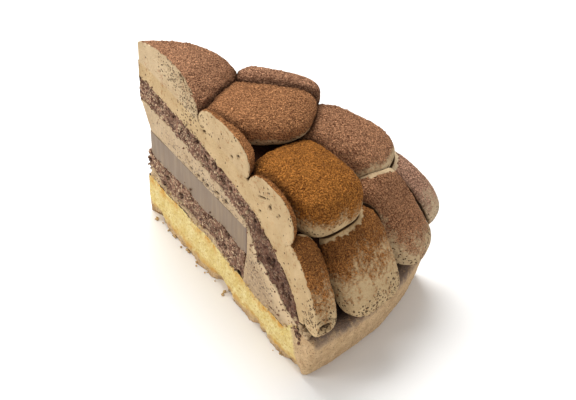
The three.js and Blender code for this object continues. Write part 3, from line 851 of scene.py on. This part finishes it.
def overhung(points, above):
    """1 in a frayed strip, about 1 to 4 mm wide, along each dollop above, which kept the cocoa off."""
    frayed = 2.3 + 1.6 * fractal(points, 1.6, 61, 2)
    return smoothstep(clearance(points, above) - frayed, 0.3, -0.1)


SWIRL_AT = (108.0, -17.4, 26.1)  # radius, angle and height of the hollow where the nozzle left


def swirl(points):
    """The curl at a dollop's end: a slot 4 by 2 mm and 2.6 mm deep, with a ridge and a groove round it."""
    r, angle, z = SWIRL_AT
    turn = np.radians(angle)
    out = np.array([np.cos(turn), np.sin(turn), 0])
    offset = points - r * out - np.array([0, 0, z])
    x, y = offset @ [-out[1], out[0], 0], offset[:, 2] - 0.5 * (offset @ out)
    slot = np.exp(-((np.abs(x) / 2.2) ** 4) - (np.abs(y) / 1.15) ** 4)
    away = np.hypot(x / 1.25, y)
    ridge = 0.45 * np.exp(-(((away - 1.9) / 0.5) ** 2))
    groove = 0.6 * np.exp(-(((away - 3.1) / 0.45) ** 2)) * smoothstep(y, -1.0, 0.8)
    return ridge - groove - 2.6 * slot, np.clip(slot + groove, 0, 1)


def dollop(name, one, above, below, proud, seed):
    """A dollop's surface: rays leave a point inside it through the skin of a box lattice, and each is
    followed to where dollop_depth is 0, by halving. Cut faces get the mousse's relief, the rest the
    cocoa's."""
    size = np.array([one["length"], one["width"], one["height"]])
    shares, quads = lattice_skin(*np.ceil(2 * size / CELL).astype(int))
    start, axes = axes_of(one)
    start = start + 0.35 * one["height"] * axes[2]
    for side in (-1, 1):
        beyond = cut_depth(start[None], side)[0] + 0.42 * min(one["width"], 8)
        start = start - max(beyond, 0) * np.array([-np.sin(HALF), side * np.cos(HALF), 0])
    start[0] = max(start[0], 6)
    squeeze = np.tan((2 * shares - 1) * 0.72) / np.tan(0.72)
    rays = (squeeze / np.linalg.norm(squeeze, axis=-1, keepdims=True) * size) @ axes
    near, far = np.zeros(len(rays)), np.full(len(rays), 2.6)
    for _ in range(20):
        halfway = (near + far) / 2
        outside = dollop_depth(start + rays * halfway[:, None], one, above, proud) > 0
        near, far = np.where(outside, near, halfway), np.where(outside, halfway, far)
    points = start + rays * near[:, None]
    normals = point_normals(points, quads)
    edge = 0.35 * np.maximum(fractal(points, 1.4, 62, 2), -0.2)
    sides = [smoothstep(cut_depth(points, side) - proud - edge, -0.45, -0.15) for side in (-1, 1)]
    cut = np.maximum(*sides)
    side = np.where(sides[0] > sides[1], -1, 1)
    flat_points = np.stack([points[:, 0] / np.cos(HALF), points[:, 2], SIDES_APART * side], -1)
    cut_push, marks = mousse_relief(flat_points, side)
    offset = (points - axes_of(one)[0]) @ axes.T / size
    bare_at, full_at = BARE_BELOW[one["slopes"]]
    slope = normals[:, 2] + 0.16 * noise(points, 5.0, 63)
    if one["slopes"] == "lifted":
        slope = slope + smoothstep(offset[:, 0], 0.8, 0.2)
    steep = smoothstep(slope, bare_at, full_at)
    if one["slopes"] == "thin":
        reach = 0.9 * offset[:, 0] + 0.1 * offset[:, 1] + 0.4 * fractal(points, 5.0, 65, 3)
        inner = [other for other in above if other["slopes"] in ("lipped", "lifted")]
        steep = steep * (1 - overhung(points, inner)) * smoothstep(reach, one["ends"], one["ends"] - 1.8)
    cocoa = steep * (1 - cut)
    nearest_cut = np.maximum(cut_depth(points, -1), cut_depth(points, 1))
    # Painted shadow: a dark line where a dollop meets one above it, away from the cuts.
    crease = smoothstep(clearance(points, above), 1.1, 0.6) * smoothstep(nearest_cut, -0.5, -2.0)
    # Painted shade: the cocoa darkens within 3.4 mm of other dollops, and over the upper part of the thin
    # outer ones.
    moist = 0.65 * smoothstep(clearance(points, above + below), 3.4, 0.2) * cocoa
    if one["slopes"] == "thin":
        moist = np.maximum(moist, 0.35 * (1 - one["tone"]) * smoothstep(offset[:, 0], 0.2, -0.6) * cocoa)
    lumps = 0.4 * noise(points, 13.0, seed) + 0.2 * noise(points, 4.5, seed + 3)
    bead, _ = clumps(points, 1.15, 67)
    grain = (0.6 * (0.5 - bead) + 0.2 * noise(points, 2.2, 68)) * cocoa + 0.05 * fractal(points, 1.5, 69, 2)
    # The swirl's slot and groove are painted dark as shade, as well as carved.
    curl, hollow = swirl(points)
    push = (lumps + grain) * (1 - cut) + cut_push * cut + curl
    points = points + normals * push[:, None]
    bubbly = 0.2 * smoothstep(normals[:, 2], 0.3, -0.1)
    if one["slopes"] == "thin":
        bubbly = bubbly + 0.75 * smoothstep(offset[:, 0] + 0.25 * offset[:, 1], 0.4, 0.8)
    airy = marks["airy"] * cut + bubbly * (1 - cut)
    piece(
        name, points, quads, dusted_skin, "cocoa", [name.replace("piped", "dollop")],
        cocoa=cocoa * (1 - hollow), tone=np.full(len(points), one["tone"]), airy=airy,
        pit=np.maximum.reduce([marks["pit"] * cut, hollow, crease]), moist=moist,
    )


ordered = list(DOLLOPS.values())
for index, (name, one) in enumerate(DOLLOPS.items()):
    above, below = (
        [o for o in some if np.linalg.norm(axes_of(o)[0] - axes_of(one)[0]) < one["length"] + o["length"] + 6]
        for some in (ordered[:index], ordered[index + 1 :])
    )
    dollop(name, one, above, below, 0.04 + 0.03 * (index % 3), 80 + 7 * index)

# Crumbs: bits of sponge and of crust that the knife dragged over the cuts and on to the table,
# and crumbed cream pushed on to the crust's ledge. Each is a small dented ball of 20 faces.
ALONG_EDGES, AT_TIP, AT_RIM, LOW_DOWN = 220, 26, 16, 60  # how many sponge crumbs lie where
ON_LEDGE, OF_CRUST = 90, 150
GOLDEN = (1 + 5**0.5) / 2
ball = np.array([np.roll([0, a, b * GOLDEN], k) for k in range(3) for a in (-1, 1) for b in (-1, 1)])
triples = np.array([(i, j, k) for i in range(12) for j in range(i) for k in range(j)])
apart = np.linalg.norm(ball[triples] - ball[np.roll(triples, 1, 1)], axis=-1)
triples = triples[np.abs(apart - 2).max(-1) < 0.01]
inward = np.linalg.det(ball[triples]) < 0
triples[inward] = triples[inward][:, ::-1]
ball = ball / np.linalg.norm(ball[0])


def bits(name, middles, sizes, skin, slot, seed, marks):
    """Joined small balls at those places: each is one ball times its size, squashed and dented by chance,
    and flat where it rests on the table."""
    chance = np.random.default_rng(seed)
    count = len(middles)
    dents = 1 + 0.28 * chance.uniform(-1, 1, (count, 12, 1))
    squash = 1 + 0.3 * chance.uniform(-1, 1, (count, 1, 3))
    points = middles[:, None] + ball * dents * squash * np.asarray(sizes)[:, None, None]
    points[..., 2] = np.maximum(points[..., 2], 0)
    faces = triples + 12 * np.arange(count)[:, None, None]
    marks = {key: np.full(12 * count, value) for key, value in marks.items()}
    piece(name, points.reshape(-1, 3), faces.reshape(-1, 3), skin, slot, None, **marks)


def on_cuts(r, z, side, out):
    """Places on the cuts at (r, z), `out` mm off the face."""
    off_face = np.stack([0 * r - out * np.sin(HALF), out * side * np.cos(HALF), 0 * r], -1)
    return place(r, side * HALF, z) + off_face


chance = np.random.default_rng(5)
line = TORN[chance.integers(0, len(TORN), ALONG_EDGES)]
off = chance.normal(0, 1.1, (ALONG_EDGES, 2))
side = chance.choice([-1, 1], ALONG_EDGES)
sizes = 0.18 + 0.35 * chance.random(ALONG_EDGES) ** 3
inside_slice = np.clip(line[:, 0] + off[:, 0], 3, 98)
crumb_places = on_cuts(inside_slice, line[:, 1] + off[:, 1], side, 0.1 + 0.3 * sizes)
tip_z = chance.uniform(20, 31, AT_TIP)
tip_x = np.where(tip_z < 28.8, 2.2, 3.9) + chance.uniform(-0.5, 0.6, AT_TIP)
tip_places = np.stack([tip_x, chance.uniform(-0.9, 0.9, AT_TIP), tip_z], -1)
rim_r, rim_z = chance.normal(101.3, 1.1, AT_RIM), chance.normal(17.6, 1.3, AT_RIM)
rim_places = on_cuts(rim_r, rim_z, np.full(AT_RIM, -1), 0.2)
low_r = chance.uniform(71, 92, LOW_DOWN)
low_z = 17 + (84 - low_r) * 0.9 + chance.uniform(-4, 9, LOW_DOWN)
low_places = on_cuts(low_r, np.clip(low_z, 16.5, 40), chance.choice([-1, 1], LOW_DOWN), 0.1)
crumb_places = np.concatenate([crumb_places, tip_places, rim_places, low_places])
tip_sizes, rim_sizes = chance.uniform(0.4, 0.9, AT_TIP), chance.uniform(0.3, 0.7, AT_RIM)
sizes = np.concatenate([sizes, tip_sizes, rim_sizes, chance.uniform(0.15, 0.35, LOW_DOWN)])
# Sponge crumbs: a little painted shade all over, and the darker colour of the sponge near the rim.
bits("sponge_crumbs", crumb_places, sizes, sponge_skin, "sponge", 6, {"pit": 0.1, "damp": 0.3})

r = chance.uniform(99.5, 106.5, ON_LEDGE)
a = -HALF + np.abs(chance.normal(0, 2.2, ON_LEDGE)) / r
sizes = chance.uniform(0.4, 1.0, ON_LEDGE)
z = RIM_HEIGHT + 0.5 * sizes + chance.random(ON_LEDGE) * (108 - r) * 0.45
# Ledge crumbs: painted shade, a quarter strength, all over.
bits("ledge_crumbs", place(r, a, z), sizes, smear_skin, "mousse", 8, {"pit": 0.25})

r, side = chance.uniform(3, 101, OF_CRUST), chance.choice([-1, 1], OF_CRUST)
low = chance.random(OF_CRUST) < 0.4
sizes = 0.25 + 0.5 * chance.random(OF_CRUST) ** 2
z = np.where(low, 0.8 * sizes, floor_height(r) + chance.normal(0.6, 0.8, OF_CRUST))
out = np.where(low, chance.normal(0.2, 0.8, OF_CRUST), 0.15)
marks = {"baked": 0.7, "golden": 0.5, "dust": 0.0}
bits("crust_crumbs", on_cuts(r, z, side, out), sizes, shortcrust, "crust", 7, marks)
